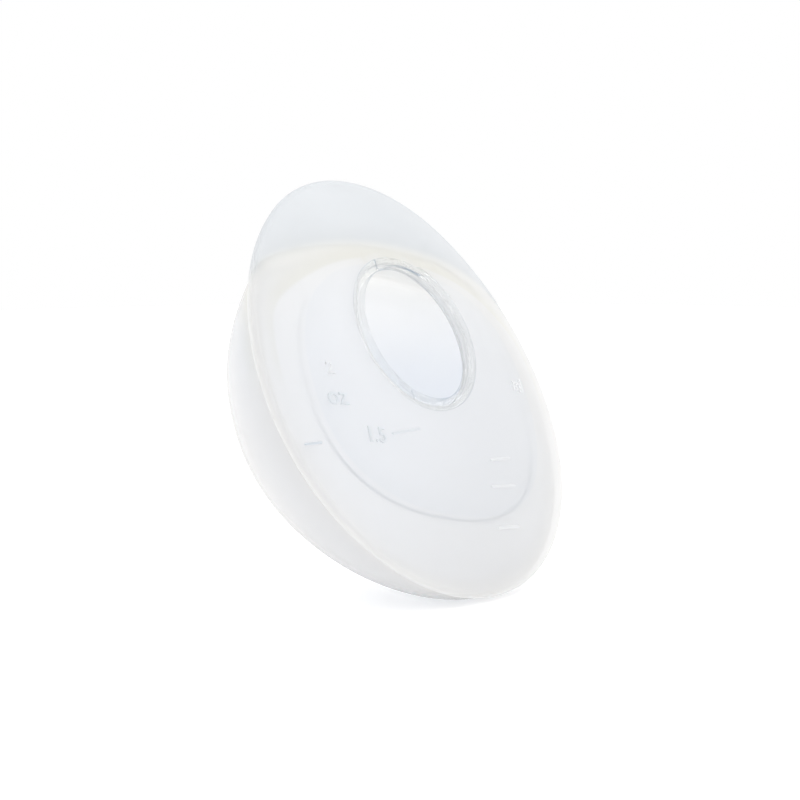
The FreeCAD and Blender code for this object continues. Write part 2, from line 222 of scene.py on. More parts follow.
def dome_lift(share):
    """0 at the rim, 1 at the ring's seat: a quarter sine."""
    return np.sin(np.clip(share / DOME_END, 0, 1) * math.pi / 2)


def front_y(share):
    return RIM_FRONT + (SEAT_Y - RIM_FRONT) * dome_lift(share)


def back_y(share):
    return RIM_BACK + (SEAT_Y - WALL - RIM_BACK) * dome_lift(share)


def share_at(x, z):
    """How far points lie from the rim's outline (0) to the ring's seat (1)."""
    directions = np.linspace(0, 2 * math.pi, 240, endpoint=False)
    reach = np.outer(x, np.cos(directions)) + np.outer(z, np.sin(directions))
    egg_reach = EGG.support(directions)
    low = np.zeros(len(x))
    high = np.ones(len(x))
    for _ in range(20):
        middle = (low + high) / 2
        limit = egg_reach + np.outer(middle, SEAT_RADIUS - egg_reach)
        inside = (reach - limit).max(1) < 0
        low = np.where(inside, middle, low)
        high = np.where(inside, high, middle)
    return low


def reach_outside(outline, x, z):
    """How far points lie outside an outline. Negative is inside."""
    directions = np.linspace(0, 2 * math.pi, 360, endpoint=False)
    reach = np.outer(x, np.cos(directions)) + np.outer(z, np.sin(directions))
    return (reach - outline.support(directions)).max(1)


# The U-shaped line inside the rim is part of a squarish ellipse.
POOL_WIDE = 42.3 * MM
POOL_TALL = 35.0 * MM
POOL_Z = -15.5 * MM
POOL_SQUARENESS = 2.35


# ---- mesh helpers ----

def smooth_object(name, vertices, faces):
    mesh = bpy.data.meshes.new(name)
    mesh.from_pydata([tuple(v) for v in vertices], [], faces)
    mesh.validate()
    mesh.polygons.foreach_set("use_smooth", [True] * len(mesh.polygons))
    obj = bpy.data.objects.new(name, mesh)
    bpy.context.scene.collection.objects.link(obj)
    return obj


def stitch(name, rings, closed=True):
    """Quads between rings of equal length. Closed joins the last ring to the first, open caps both ends."""
    count = len(rings[0])
    faces = []
    pairs = len(rings) if closed else len(rings) - 1
    for i in range(pairs):
        a = i * count
        b = ((i + 1) % len(rings)) * count
        for j in range(count):
            k = (j + 1) % count
            faces.append((a + j, a + k, b + k, b + j))
    if not closed:
        last = (len(rings) - 1) * count
        faces.append(tuple(reversed(range(count))))
        faces.append(tuple(range(last, last + count)))
    return face_outwards(smooth_object(name, np.vstack(rings), faces))


def face_outwards(obj):
    """Makes the mesh's faces point out of the solid."""
    mesh = obj.data
    volume = 0.0
    for polygon in mesh.polygons:
        corners = [mesh.vertices[i].co for i in polygon.vertices]
        for k in range(1, len(corners) - 1):
            volume += corners[0].dot(corners[k].cross(corners[k + 1]))
    if volume < 0:
        mesh.flip_normals()
    return obj


def loop(outline, y):
    """One ring of points on an outline, at a height that may change along it."""
    x, z = outline.points(normals)
    return np.column_stack([x, np.broadcast_to(y, x.shape), z])


def circle(radius, y, z=0.0, count=AROUND):
    turn = np.linspace(0, 2 * math.pi, count, endpoint=False)
    return np.column_stack([radius * np.cos(turn), np.full(count, y), z + radius * np.sin(turn)])


def rounded(corners, radius, steps=6):
    """A closed profile of (radius, y) corners with every corner rounded."""
    corners = [np.array(c, float) for c in corners]
    count = len(corners)
    points = []
    for i in range(count):
        corner = corners[i]
        before = corners[i - 1] - corner
        after = corners[(i + 1) % count] - corner
        reach = min(radius, np.linalg.norm(before) / 2.05, np.linalg.norm(after) / 2.05)
        start = corner + before / np.linalg.norm(before) * reach
        end = corner + after / np.linalg.norm(after) * reach
        for k in range(steps + 1):
            u = k / steps
            points.append((1 - u) ** 2 * start + 2 * u * (1 - u) * corner + u ** 2 * end)
    return points


def turned(name, corners, rounding, z=0.0, count=AROUND):
    """A solid of revolution about a line along Y, from a closed profile of (radius, y) corners."""
    return stitch(name, [circle(r, y, z, count) for r, y in rounded(corners, rounding)])


def bead(name, path, half_width, half_height, steps=12):
    """A slim closed tube with round ends along a path of points, laid flat in the XZ plane."""
    path = np.array(path, float)
    run = np.gradient(path, axis=0)
    run /= np.linalg.norm(run, axis=1)[:, None]
    sideways = np.column_stack([-run[:, 2], np.zeros(len(path)), run[:, 0]])
    steps_along = np.linalg.norm(np.diff(path, axis=0), axis=1)
    travelled = np.concatenate([[0], np.cumsum(steps_along)])
    to_end = np.minimum(travelled, travelled[-1] - travelled)
    taper = np.sqrt(1 - (1 - np.clip(to_end / half_width, 0.04, 1)) ** 2)
    turn = np.linspace(0, 2 * math.pi, steps, endpoint=False)
    rings = []
    for i in range(len(path)):
        across = np.outer(np.cos(turn) * half_width * taper[i], sideways[i])
        upwards = np.outer(np.sin(turn) * half_height * taper[i], (0, 1, 0))
        rings.append(path[i] + across + upwards)
    return stitch(name, rings, closed=False)


def mark_points(obj, name, weights):
    """Stores one number per vertex, which a material can read."""
    attribute = obj.data.attributes.new(name, "FLOAT", "POINT")
    attribute.data.foreach_set("value", np.asarray(weights, float))


def corner_values(obj):
    """X, Y and Z of every vertex."""
    flat = np.empty(len(obj.data.vertices) * 3)
    obj.data.vertices.foreach_get("co", flat)
    return flat.reshape(-1, 3).T


def fade(distance, width):
    """1 at or below 0, falling smoothly to 0 at width."""
    part = np.clip(distance / width, 0, 1)
    return 1 - part * part * (3 - 2 * part)


# ---- rear shield ----

RIM_ROUND = RIM_THICKNESS / 2
# Where the tinted zones lie, and how softly they end: the flap, the bonded band and the edge. The flap and
# the edge are painted shade.
FLAP_LOW = 18 * MM
FLAP_SOFTNESS = 10 * MM
FLAP_INSET = 3 * MM
BAND_LOW = -8 * MM
BAND_SOFTNESS = 14 * MM
BAND_FAINTEST = 0.35
EDGE_WIDTH = 7 * MM


def make_shield():
    """One closed skin, ring by ring: out over the front, round the rim and back in behind."""
    hole = SPIGOT_RADIUS + FIT_GAP
    seat_steps = (hole, hole + 0.4 * MM, hole + 1.5 * MM)
    rings = [circle(radius, SEAT_Y) for radius in seat_steps]
    for share in np.linspace(1, 0, 72):
        rings.append(loop(towards_seat(EGG.grown(-RIM_ROUND), share), front_y(share)))
    for turn in np.linspace(0, math.pi, 13)[1:-1]:
        outline = EGG.grown(-RIM_ROUND * (1 - math.sin(turn)))
        rings.append(loop(outline, RIM_FRONT - RIM_ROUND * (1 - math.cos(turn))))
    for inset in np.linspace(RIM_ROUND, RIM_LAND, 6):
        rings.append(loop(EGG.grown(-inset), RIM_BACK))
    for share in np.linspace(0, 1, 68)[1:]:
        inset = RIM_LAND * (1 - share)
        rings.append(loop(towards_seat(EGG.grown(-inset), share), back_y(share)))
    rings += [circle(radius, SEAT_Y - WALL) for radius in reversed(seat_steps)]
    shield = stitch("shield_skin", rings)
    x, _, z = corner_values(shield)
    outside = reach_outside(MOUTH, x, z)
    past_band = reach_outside(BAND_EDGE, x, z)
    above = fade(BAND_LOW - z, BAND_SOFTNESS)
    # Painted shade: the flap weight marks the single wall above the bulb's mouth, which is painted darker
    # and bluer.
    flap = (1 - fade(outside + FLAP_INSET, 4 * MM)) * fade(FLAP_LOW - z, FLAP_SOFTNESS)
    mark_points(shield, "flap", flap)
    in_band = (1 - fade(past_band + 0.4 * MM, 0.9 * MM)) * fade(outside + 2 * MM, 4 * MM)
    strength = BAND_FAINTEST + (1 - BAND_FAINTEST) * fade(past_band - 0.8 * MM, 5 * MM)
    mark_points(shield, "bond", above * in_band * strength)
    # Painted shade: the edge weight marks a band along the rim, painted a little darker than the shield's
    # middle.
    mark_points(shield, "edge", (1 - flap) * fade(-reach_outside(EGG, x, z) - 1 * MM, EDGE_WIDTH))
    return shield


# ---- front bulb ----

MOUTH_THICKENING = 2.4 * MM
MOUTH_FADE = 6.0 * MM
# The mouth follows the shield's flat land up to this share of the way to the ring, then its dome.
LAND_SHARE = 0.12
MOUTH_LIFTS = (1.0, 0.8, 0.6, 0.4, 0.2)


def bulb_wall(depth):
    """The wall thickens towards the bonded mouth."""
    return WALL + MOUTH_THICKENING * math.exp(-((depth / MOUTH_FADE) ** 2))


def make_bulb():
    """One closed skin, ring by ring: down the outside from mouth to nose, and back up the inside."""
    x, z = MOUTH.points(normals)
    share = share_at(x, z)
    top = np.where(share < LAND_SHARE, RIM_BACK, back_y(share)) - BOND_GAP
    rim = RIM_BACK - BOND_GAP
    last_turn = math.acos(NOSE_SHARE ** (BULB_SIDE_POWER / 2))
    sections = []
    for turn in np.linspace(0, last_turn, 72):
        size = math.cos(turn) ** (2 / BULB_SIDE_POWER)
        depth = BULB_DEPTH * math.sin(turn) ** (2 / BULB_NOSE_POWER)
        sections.append((size, depth))
    nose_radii = (8.0 * MM, 7.6 * MM, HUB_RADIUS + FIT_GAP)
    inner_depth = (BULB_DEPTH - WALL) / BULB_DEPTH
    rings = [loop(MOUTH, rim + (top - rim) * lift) for lift in MOUTH_LIFTS]
    rings += [loop(bulb_section(size), rim - depth) for size, depth in sections]
    rings += [circle(radius, NOSE_Y, VALVE_Z) for radius in nose_radii]
    rings += [circle(radius, NOSE_Y + WALL, VALVE_Z) for radius in reversed(nose_radii)]
    for size, depth in reversed(sections):
        rings.append(loop(bulb_section(size, bulb_wall(depth)), rim - depth * inner_depth))
    inner_mouth = MOUTH.grown(-bulb_wall(0))
    rings += [loop(inner_mouth, rim + (top - rim) * lift) for lift in reversed(MOUTH_LIFTS)]
    bulb = stitch("bulb_skin", rings)
    _, y, z = corner_values(bulb)
    outer_points = AROUND * (len(MOUTH_LIFTS) + len(sections) + len(nose_radii))
    inner = np.arange(len(y)) >= outer_points
    mark_points(bulb, "bond", ~inner * fade(RIM_BACK - y, 6 * MM) * fade(BAND_LOW - z, BAND_SOFTNESS))
    # Painted light and shade: inner lightens the inside of the bulb, and inner_low paints shade low inside
    # it.
    mark_points(bulb, "inner", inner)
    mark_points(bulb, "inner_low", inner * fade(z + 1 * MM, 27 * MM))
    return bulb


# ---- clear ring ----

RING_ROUNDING = 0.6 * MM
NOTCH_HALF_WIDTH = 8.2 * MM
NOTCH_RADIUS = 19.2 * MM
NOTCH_DEPTH = 0.8 * MM


def make_ring():
    """An L-shaped section turned about the opening's axis, with a notch at the top and at the bottom."""
    lip_back = SEAT_Y + FIT_GAP
    corners = (
        (OPENING_RADIUS, RING_BACK),
        (SPIGOT_RADIUS, RING_BACK),
        (SPIGOT_RADIUS, lip_back),
        (RING_RADIUS, lip_back),
        (RING_RADIUS, RING_FRONT),
        (NOTCH_RADIUS + 0.1 * MM, RING_FRONT),
        (NOTCH_RADIUS - 0.1 * MM, RING_FRONT),
        (OPENING_RADIUS, RING_FRONT),
    )
    rings = []
    for radius, y in rounded(corners, RING_ROUNDING):
        ring = circle(radius, y)
        if y > lip_back and radius > NOTCH_RADIUS:
            x, z = ring[:, 0], ring[:, 2]
            in_notch = fade(np.abs(x) - NOTCH_HALF_WIDTH, 0.3 * MM) * (np.abs(z) > OPENING_RADIUS / 2)
            share_up = (y - lip_back) / (RING_FRONT - lip_back)
            ring[:, 1] -= NOTCH_DEPTH * in_notch * share_up
        rings.append(ring)
    return stitch("clear_ring", rings)


# ---- valve ----

VENT_RADIUS = 0.9 * MM
VENT_CIRCLE = 3.6 * MM
VENT_COUNT = 4
CUP_FLOOR = 1.0 * MM
STEM_CLEARANCE = 0.1 * MM
BUTTON_THICKNESS = 2.0 * MM
BUTTON_ROUNDING = 0.7 * MM
# How close the pieces that are turned from an open profile come to their axis.
NEXT_TO_AXIS = 0.05 * MM


def cut_holes(obj, centres, radius, low, high):
    """Drills straight holes along Y through a piece."""
    cutters = []
    for x, z in centres:
        rings = [circle(radius, y, z, 48) + np.array((x, 0, 0)) for y in (low, high)]
        cutters.append(stitch("drill", rings, closed=False))
    for cutter in cutters:
        modifier = obj.modifiers.new("hole", "BOOLEAN")
        modifier.object = cutter
        modifier.solver = "EXACT"
    shaped = bpy.data.meshes.new_from_object(obj.evaluated_get(bpy.context.evaluated_depsgraph_get()))
    obj.modifiers.clear()
    obj.data = shaped
    for cutter in cutters:
        bpy.data.objects.remove(cutter)


def make_collar():
    floor_front = collar_high.y - CUP_FLOOR
    bore = STEM_RADIUS + STEM_CLEARANCE
    corners = (
        (bore, floor_front),
        (CUP_RADIUS, floor_front),
        (CUP_RADIUS, FLANGE_FRONT),
        (collar_high.x, FLANGE_FRONT),
        (collar_high.x, FLANGE_BACK),
        (HUB_RADIUS, FLANGE_BACK),
        (HUB_RADIUS, collar_high.y),
        (bore, collar_high.y),
    )
    collar = turned("collar_cup", corners, 0.3 * MM, VALVE_Z, 128)
    centres = [
        (VENT_CIRCLE * math.cos(turn), VALVE_Z + VENT_CIRCLE * math.sin(turn))
        for turn in np.linspace(0, 2 * math.pi, VENT_COUNT, endpoint=False) + math.pi / 2
    ]
    cut_holes(collar, centres, VENT_RADIUS, floor_front - 1 * MM, collar_high.y + 1 * MM)
    return collar


def turned_solid(name, profile, z, count=128):
    """A solid of revolution from an open profile that starts and ends next to the axis."""
    return stitch(name, [circle(r, y, z, count) for r, y in profile], closed=False)


def make_button():
    """A finger dish in the front of a thick head, and a stem behind it."""
    front = button_low.y
    head_back = front + BUTTON_THICKNESS
    radius = button_high.x
    profile = [
        (NEXT_TO_AXIS, front + 0.5 * MM),
        (1.5 * MM, front + 0.48 * MM),
        (3.0 * MM, front + 0.38 * MM),
        (3.9 * MM, front + 0.2 * MM),
        (4.5 * MM, front + 0.02 * MM),
        (4.9 * MM, front),
    ]
    for turn in np.linspace(0, math.pi / 2, 7)[1:]:
        inset = BUTTON_ROUNDING * (1 - math.sin(turn))
        profile.append((radius - inset, front + BUTTON_ROUNDING * (1 - math.cos(turn))))
    profile += [
        (radius, head_back - 0.4 * MM),
        (radius - 0.1 * MM, head_back - 0.1 * MM),
        (radius - 0.4 * MM, head_back),
        (STEM_RADIUS + 0.5 * MM, head_back),
        (STEM_RADIUS + 0.1 * MM, head_back + 0.1 * MM),
        (STEM_RADIUS, head_back + 0.5 * MM),
        (STEM_RADIUS, button_high.y),
        (NEXT_TO_AXIS, button_high.y),
    ]
    return turned_solid("button_skin", profile, VALVE_Z)


def make_disc():
    radius = disc_high.x
    middle = (disc_low.y + disc_high.y) / 2
    profile = [
        (NEXT_TO_AXIS, disc_low.y),
        (radius - 0.3 * MM, disc_low.y),
        (radius - 0.08 * MM, disc_low.y + 0.1 * MM),
        (radius, middle),
        (radius - 0.15 * MM, disc_high.y - 0.15 * MM),
        (radius - 1.5 * MM, disc_high.y),
        (NEXT_TO_AXIS, disc_high.y),
    ]
    return turned_solid("disc_skin", profile, VALVE_Z)


# ---- bond line and measuring marks, moulded on the shield ----

def on_back(x, z, sink=0.0):
    """Points on the back of the shield."""
    return np.column_stack([x, back_y(share_at(x, z)) + sink, z])


def on_front(x, z, rise=0.0):
    """Points on the front of the shield."""
    return np.column_stack([x, front_y(share_at(x, z)) + rise, z])


BOND_LINE_START = math.radians(-216)
BOND_LINE_END = math.radians(36)


def make_bond_line():
    """The U-shaped inner edge of the bond, a bead on the back of the shield along a squarish ellipse."""
    turn = np.linspace(BOND_LINE_START, BOND_LINE_END, 460)
    x = POOL_WIDE * np.sign(np.cos(turn)) * np.abs(np.cos(turn)) ** (2 / POOL_SQUARENESS)
    z = POOL_Z + POOL_TALL * np.sign(np.sin(turn)) * np.abs(np.sin(turn)) ** (2 / POOL_SQUARENESS)
    return bead("bond_line", on_back(x, z), 0.3 * MM, 0.4 * MM)


MARK_RISE = 0.12 * MM
TICK_HALF_HEIGHT = 0.2 * MM
# The font's size over the height of its digits.
FONT_SIZE = 1.4
LETTER_RELIEF = 0.3 * MM
LETTER_BOLDNESS = 0.06 * MM


def make_tick(name, start, end, width):
    """A straight raised bar on the shield from start to end, both (x, z)."""
    share = np.linspace(0, 1, 30)
    x = start[0] + (end[0] - start[0]) * share
    z = start[1] + (end[1] - start[1]) * share
    return bead(name, on_front(x, z, MARK_RISE * 0.5), width / 2, TICK_HALF_HEIGHT)


def make_label(name, text, x, z, height):
    """Raised lettering on the shield, read from the breast's side. x, z is the middle of the text."""
    curve = bpy.data.curves.new(name, "FONT")
    curve.body = text
    curve.size = height * FONT_SIZE
    curve.align_x = "CENTER"
    curve.align_y = "CENTER"
    curve.extrude = LETTER_RELIEF
    curve.offset = LETTER_BOLDNESS
    curve.resolution_u = 6
    source = bpy.data.objects.new(name, curve)
    bpy.context.scene.collection.objects.link(source)
    mesh = bpy.data.meshes.new_from_object(source)
    bpy.data.objects.remove(source)
    label = bpy.data.objects.new(name, mesh)
    bpy.context.scene.collection.objects.link(label)
    flat_x, flat_y, lift = corner_values(label)
    placed = on_front(x - flat_x, z + flat_y)
    placed[:, 1] += lift
    mesh.vertices.foreach_set("co", placed.ravel())
    return face_outwards(label)


def join(name, pieces):
    """Makes one piece of several."""
    vertices = []
    faces = []
    for piece in pieces:
        offset = len(vertices)
        vertices += [tuple(v.co) for v in piece.data.vertices]
        faces += [tuple(offset + i for i in polygon.vertices) for polygon in piece.data.polygons]
        bpy.data.objects.remove(piece)
    joined = smooth_object(name, vertices, faces)
    joined.data.polygons.foreach_set("use_smooth", [False] * len(joined.data.polygons))
    return joined


# ---- materials ----

def node(tree, kind, **inputs):
    made = tree.nodes.new(kind)
    for key, number in inputs.items():
        made.inputs[key.replace("_", " ")].default_value = number
    return made


def new_material(name):
    material = bpy.data.materials.new(name)
    material.use_nodes = True
    material.node_tree.nodes.clear()
    return material, material.node_tree


# The sockets of a Mix node that is set to colours.
MIX_WEIGHT, MIX_FIRST, MIX_SECOND, MIX_RESULT = 0, 6, 7, 2


def tinted(tree, colour, weight, tint, blend="MIX"):
    """Mixes a tint into a colour by a weight from 0 to 1."""
    mix = tree.nodes.new("ShaderNodeMix")
    mix.data_type = "RGBA"
    mix.blend_type = blend
    tree.links.new(weight, mix.inputs[MIX_WEIGHT])
    tree.links.new(colour, mix.inputs[MIX_FIRST])
    mix.inputs[MIX_SECOND].default_value = (*tint, 1)
    return mix.outputs[MIX_RESULT]


def maths(tree, operation, first, second=None):
    """One Math node. first is a socket, second a socket, a number or nothing."""
    made = tree.nodes.new("ShaderNodeMath")
    made.operation = operation
    tree.links.new(first, made.inputs[0])
    if isinstance(second, float):
        made.inputs[1].default_value = second
    elif second is not None:
        tree.links.new(second, made.inputs[1])
    return made.outputs[0]


def zone_tint(tree, colour, name, tint):
    """Mixes a tint into a colour where the mesh's stored weight is 1."""
    weight = tree.nodes.new("ShaderNodeAttribute")
    weight.attribute_name = name
    return tinted(tree, colour, weight.outputs["Fac"], tint)


def shade_gradient(tree, colour, direction, start, end, tint):
    """Painted shade: mixes a tint in gradually along a direction, from start to end, both distances from the
    origin, so that one side of a piece differs in tone from the other.
    """
    place = tree.nodes.new("ShaderNodeTexCoord")
    along = tree.nodes.new("ShaderNodeVectorMath")
    along.operation = "DOT_PRODUCT"
    along.inputs[1].default_value = Vector(direction).normalized()
    tree.links.new(place.outputs["Object"], along.inputs[0])
    share = node(tree, "ShaderNodeMapRange", From_Min=start, From_Max=end)
    share.interpolation_type = "SMOOTHSTEP"
    tree.links.new(along.outputs["Value"], share.inputs["Value"])
    return tinted(tree, colour, share.outputs[0], tint)


def pool_tint(tree, colour, tint):
    """Mixes a tint in within the U-shaped line, with a crisp edge."""
    place = tree.nodes.new("ShaderNodeTexCoord")
    parts = tree.nodes.new("ShaderNodeSeparateXYZ")
    tree.links.new(place.outputs["Object"], parts.inputs[0])
    terms = []
    for axis, middle, reach in (("X", 0.0, POOL_WIDE), ("Z", POOL_Z, POOL_TALL)):
        shifted = maths(tree, "SUBTRACT", parts.outputs[axis], middle)
        scaled = maths(tree, "DIVIDE", shifted, reach)
        size = maths(tree, "ABSOLUTE", scaled)
        terms.append(maths(tree, "POWER", size, POOL_SQUARENESS))
    total = maths(tree, "ADD", *terms)
    inside = node(tree, "ShaderNodeMapRange", From_Min=1.02, From_Max=0.98)
    tree.links.new(total, inside.inputs["Value"])
    return tinted(tree, colour, inside.outputs[0], tint, "MULTIPLY")


def mottled(tree, tone, other, scale):
    """A colour that drifts softly between two tones, as a moulded milky rubber does."""
    place = tree.nodes.new("ShaderNodeTexCoord")
    cloud = node(tree, "ShaderNodeTexNoise", Scale=scale, Detail=3.0, Roughness=0.5)
    tree.links.new(place.outputs["Object"], cloud.inputs["Vector"])
    mix = tree.nodes.new("ShaderNodeMix")
    mix.data_type = "RGBA"
    tree.links.new(cloud.outputs["Fac"], mix.inputs[MIX_WEIGHT])
    mix.inputs[MIX_FIRST].default_value = (*tone, 1)
    mix.inputs[MIX_SECOND].default_value = (*other, 1)
    return mix.outputs[MIX_RESULT]


def frosted(tree, scale, strength, distance):
    """The fine satin grain of a bead-blasted mould."""
    place = tree.nodes.new("ShaderNodeTexCoord")
    grain = node(tree, "ShaderNodeTexNoise", Scale=scale, Detail=2.0, Roughness=0.6)
    tree.links.new(place.outputs["Object"], grain.inputs["Vector"])
    bump = node(tree, "ShaderNodeBump", Strength=strength, Distance=distance)
    tree.links.new(grain.outputs["Fac"], bump.inputs["Height"])
    return bump.outputs[0]


def silicone(name, tones, drifts=(), zones=(), pool=None, through=0.3, rough=0.3, thin=0.55, shine=0.8):
    """Milky silicone: light scatters back, scatters on, or passes straight through, under a soft gloss.

    drifts are (direction, start, end, tint), painted shade that grows along a direction, zones are (stored
    weight, tint) and pool is a tint within the
    U-shaped line. through is the share that passes straight through where the wall is seen face on, thin the
    share of the scattered light that goes on into the piece, and shine the strength of the gloss.
    """
    material, tree = new_material(name)
    link = tree.links.new
    colour = mottled(tree, tones[0], tones[1], scale=45.0)
    for direction, start, end, tint in drifts:
        colour = shade_gradient(tree, colour, direction, start, end, tint)
    if pool:
        colour = pool_tint(tree, colour, pool)
    for zone, tint in zones:
        colour = zone_tint(tree, colour, zone, tint)
    grain = frosted(tree, scale=2600.0, strength=0.16, distance=0.05 * MM)
    diffuse = node(tree, "ShaderNodeBsdfDiffuse")
    translucent = node(tree, "ShaderNodeBsdfTranslucent")
    gloss = node(tree, "ShaderNodeBsdfAnisotropic", Color=(shine, shine, shine, 1), Roughness=rough)
    clear = node(tree, "ShaderNodeBsdfTransparent", Color=(1, 1, 1, 1))
    for shader in (diffuse, translucent):
        link(colour, shader.inputs["Color"])
        link(grain, shader.inputs["Normal"])
    link(grain, gloss.inputs["Normal"])
    body = node(tree, "ShaderNodeMixShader", Fac=thin)
    link(diffuse.outputs[0], body.inputs[1])
    link(translucent.outputs[0], body.inputs[2])
    slant = node(tree, "ShaderNodeLayerWeight", Blend=0.35)
    level = node(tree, "ShaderNodeMapRange", To_Min=through, To_Max=0.0)
    link(slant.outputs["Facing"], level.inputs["Value"])
    seen = tree.nodes.new("ShaderNodeMixShader")
    link(level.outputs[0], seen.inputs[0])
    link(body.outputs[0], seen.inputs[1])
    link(clear.outputs[0], seen.inputs[2])
    fresnel = node(tree, "ShaderNodeFresnel", IOR=1.4)
    link(grain, fresnel.inputs["Normal"])
    side = tree.nodes.new("ShaderNodeNewGeometry")
    outer = node(tree, "ShaderNodeMapRange", To_Min=1.0, To_Max=0.0)
    link(side.outputs["Backfacing"], outer.inputs["Value"])
    coat = tree.nodes.new("ShaderNodeMixShader")
    link(maths(tree, "MULTIPLY", fresnel.outputs[0], outer.outputs[0]), coat.inputs[0])
    link(seen.outputs[0], coat.inputs[1])
    link(gloss.outputs[0], coat.inputs[2])
    out = tree.nodes.new("ShaderNodeOutputMaterial")
    link(coat.outputs[0], out.inputs["Surface"])
    return material


def clear_plastic(name, tone, edge, bent):
    """Water-clear moulded plastic with faint flow marks.

    bent is the share of the light that it bends. The rest passes straight on, tinted with edge where the
    surface is seen at a slant: a painted reflection, dark lines at the plastic's slanting edges.
    """
    material, tree = new_material(name)
    link = tree.links.new
    ripple = frosted(tree, scale=160.0, strength=0.02, distance=0.1 * MM)
    colour = mottled(tree, tone, tuple(0.98 * part for part in tone), scale=120.0)
    solid = node(tree, "ShaderNodeBsdfPrincipled", Roughness=0.03, IOR=1.49, Transmission_Weight=1.0)
    link(colour, solid.inputs["Base Color"])
    link(ripple, solid.inputs["Normal"])
    slant = node(tree, "ShaderNodeLayerWeight", Blend=0.5)
    level = node(tree, "ShaderNodeMapRange", From_Min=0.66, From_Max=1.0)
    link(slant.outputs["Facing"], level.inputs["Value"])
    straight = tree.nodes.new("ShaderNodeBsdfTransparent")
    # Painted reflection: edge darkens the see-through light where the surface slants.
    link(tinted(tree, colour, level.outputs[0], edge), straight.inputs["Color"])
    mixed = node(tree, "ShaderNodeMixShader", Fac=bent)
    link(straight.outputs[0], mixed.inputs[1])
    link(solid.outputs[0], mixed.inputs[2])
    out = tree.nodes.new("ShaderNodeOutputMaterial")
    link(mixed.outputs[0], out.inputs["Surface"])
    return material


# Painted shade: the shield is darker towards -X and -Z.
SHIELD_SILICONE = silicone(
    "shield_silicone",
    ((0.963, 0.96, 0.953), (0.95, 0.95, 0.95)),
    (((-1, 0, -0.6), -10 * MM, 45 * MM, (0.915, 0.911, 0.903)),),
    # The flap and edge tints are painted shade: darker and bluer on the flap, a little darker along the rim.
    (("flap", (0.765, 0.79, 0.815)), ("bond", (0.908, 0.9, 0.855)), ("edge", (0.945, 0.944, 0.938))),
    pool=(0.972, 0.98, 0.992),
    through=0.42,
    rough=0.3,
)
BULB_SILICONE = silicone(
    "bulb_silicone",
    ((1.0, 0.992, 0.975), (0.992, 0.984, 0.968)),
    # Painted shade: the bulb is darker and warmer towards the bottom.
    (((0, 0, -1), -10 * MM, 30 * MM, (0.935, 0.917, 0.888)),),
    # Painted light on the inner zone; painted shade, darker and lavender, on the inner_low zone.
    (("bond", (0.93, 0.922, 0.88)), ("inner", (1.0, 1.0, 0.996)), ("inner_low", (0.77, 0.815, 0.89))),
    through=0.24,
    rough=0.26,
    thin=0.58,
)
# Painted shade: the bond line's grey-blue tone stands for the shade that the bond's edge shows through the
# wall, painted lighter towards the top.
BOND_LINE_SHADE = silicone(
    "bond_line_shade",
    ((0.6, 0.65, 0.7), (0.65, 0.69, 0.73)),
    (((0, 0, 1), -42 * MM, -20 * MM, (0.86, 0.875, 0.89)),),
    through=0.12,
    rough=0.15,
)
OUNCE_SILICONE = silicone(
    "ounce_mark_silicone",
    ((0.84, 0.865, 0.885), (0.87, 0.885, 0.9)),
    through=0.35,
)
DARK_MARK_SILICONE = silicone(
    "dark_mark_silicone",
    ((0.8, 0.835, 0.87), (0.81, 0.84, 0.875)),
    through=0.3,
)
PALE_MARK_SILICONE = silicone(
    "millilitre_mark_silicone",
    ((0.94, 0.944, 0.952), (0.93, 0.935, 0.943)),
    through=0.42,
)
VALVE_SILICONE = silicone(
    "valve_silicone",
    ((0.96, 0.965, 0.97), (0.94, 0.95, 0.96)),
    through=0.08,
    rough=0.35,
)
# The edge colours are painted reflection, blue-grey lines at the slanting rims of the clear ring and cup.
CLEAR_RING = clear_plastic("clear_ring_plastic", (0.985, 0.988, 0.985), (0.52, 0.59, 0.69), bent=0.2)
CLEAR_CUP = clear_plastic("clear_cup_plastic", (0.97, 0.98, 0.99), (0.6, 0.66, 0.72), bent=0.6)


# ---- pieces ----

def dress(piece, material, body=None, node_name=None):
    piece.data.materials.clear()
    piece.data.materials.append(material)
    if node_name:
        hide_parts(node_name)
    if body:
        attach(piece, body)


dress(make_shield(), SHIELD_SILICONE, "shield", "rear_shield")
dress(make_ring(), CLEAR_RING, "shield", "opening_ring")
dress(make_collar(), CLEAR_CUP, "nose", "valve_collar")
dress(make_button(), VALVE_SILICONE, "valve", "release_button")
dress(make_disc(), VALVE_SILICONE, "valve", "valve_disc")
# The bond line's tone is painted shade.
dress(make_bond_line(), BOND_LINE_SHADE, "shield")

bulb = make_bulb()
dress(bulb, BULB_SILICONE, node_name="front_bulb")
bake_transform(bulb)

ounce_marks = [
    make_label("ounce_unit", "oz", 35.8 * MM, -21 * MM, 5 * MM),
    make_label("ounce_number", "1.5", 25.4 * MM, -31 * MM, 4.2 * MM),
    make_tick("ounce_tick", (19.6 * MM, -30.2 * MM), (7.8 * MM, -27.5 * MM), 0.8 * MM),
]
dress(join("ounce_scale", ounce_marks), OUNCE_SILICONE, "shield")
top_number = make_label("ounce_top_number", "2", 36 * MM, -13.2 * MM, 3.6 * MM)
dress(top_number, PALE_MARK_SILICONE, "shield")
edge_tick = make_tick("ounce_edge_tick", (49 * MM, -34 * MM), (43.6 * MM, -33.5 * MM), 0.65 * MM)
dress(edge_tick, DARK_MARK_SILICONE, "shield")
